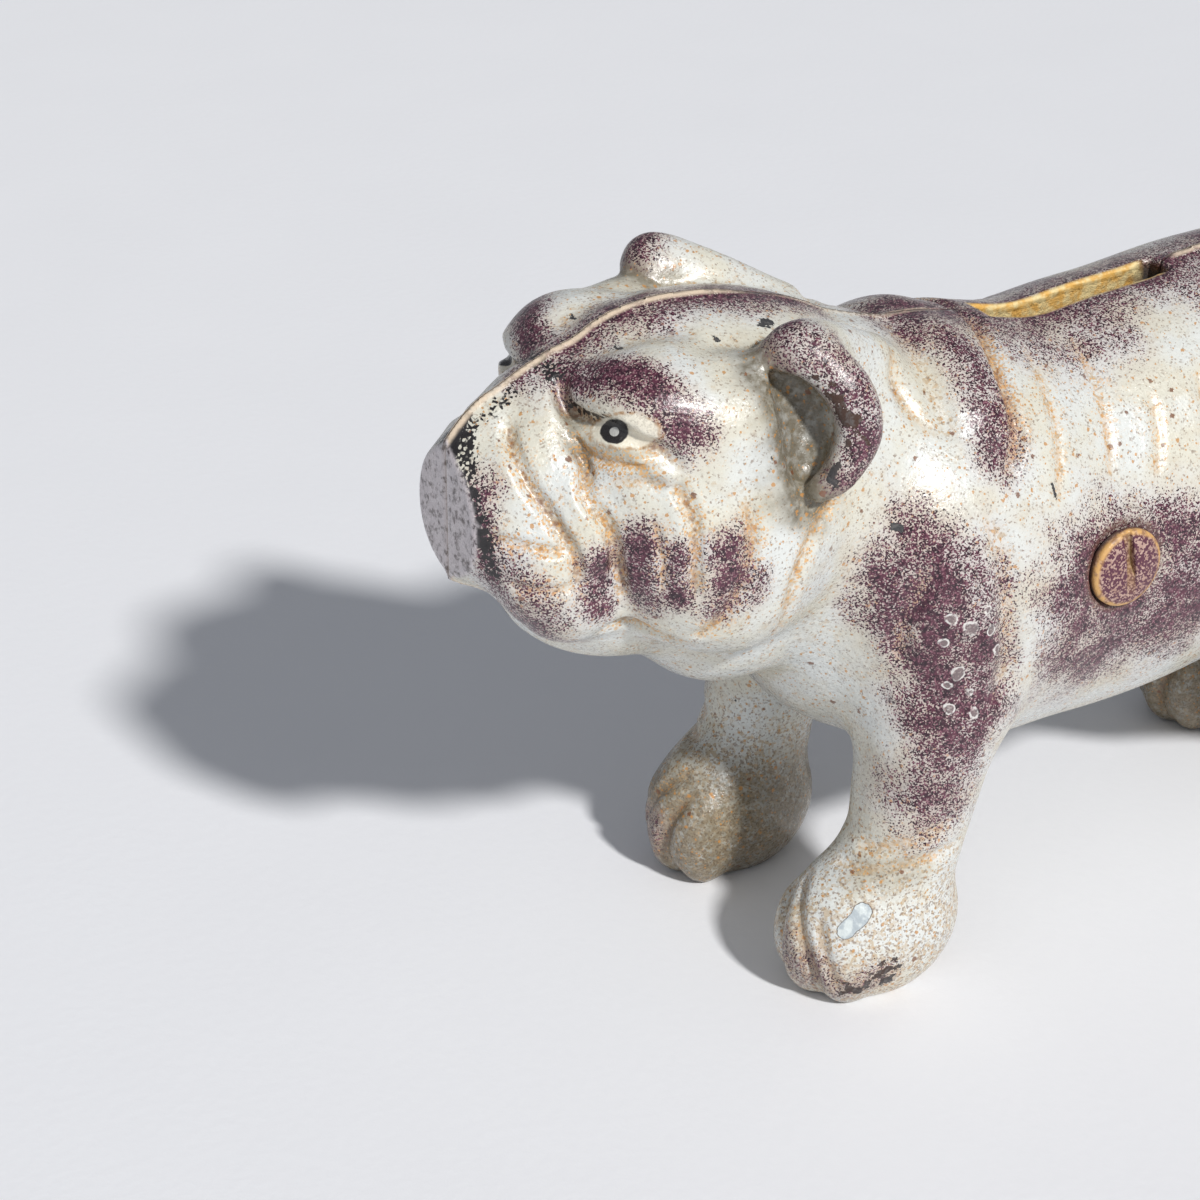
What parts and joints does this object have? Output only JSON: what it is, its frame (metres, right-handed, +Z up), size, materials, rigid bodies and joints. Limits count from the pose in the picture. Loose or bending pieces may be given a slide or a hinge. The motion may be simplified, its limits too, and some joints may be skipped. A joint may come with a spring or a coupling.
{
  "type": "figural animal coin bank",
  "caption": "Standing bulldog still bank: two hollow cast-iron halves joined by a long slotted screw and a square nut, with a coin slot along the back.",
  "frame": {"origin": "on the floor plane of the four paw soles, under the centre of the bounding box", "axes": "-X towards the muzzle, +X towards the tail, -Y towards the dog's left side with the screw head, +Z up"},
  "size_m": [0.1768, 0.0632, 0.108],
  "materials": {
    "cream_enamel": "glossy cream enamel with airbrushed plum patches, rust specks and chips down to dark iron",
    "plum_screw_paint": "screw painted over with plum enamel on its head, bare steel thread",
    "nut_steel": "dull steel with light rust"
  },
  "bodies": {
    "right_half": {"right_casting": "cream_enamel", "square_nut": "nut_steel"},
    "left_half": {"left_casting": "cream_enamel"},
    "clamp_screw": {"clamp_screw": "plum_screw_paint"}
  },
  "joints": [
    {"name": "left_half_lift_off", "type": "slide", "parent": "right_half", "child": "left_half", "axis": [0, -1, 0], "range_m": [0, 0.07]},
    {"name": "clamp_screw_withdrawal", "type": "slide", "parent": "left_half", "child": "clamp_screw", "axis": [0, -1, 0], "range_m": [0, 0.06]}
  ]
}
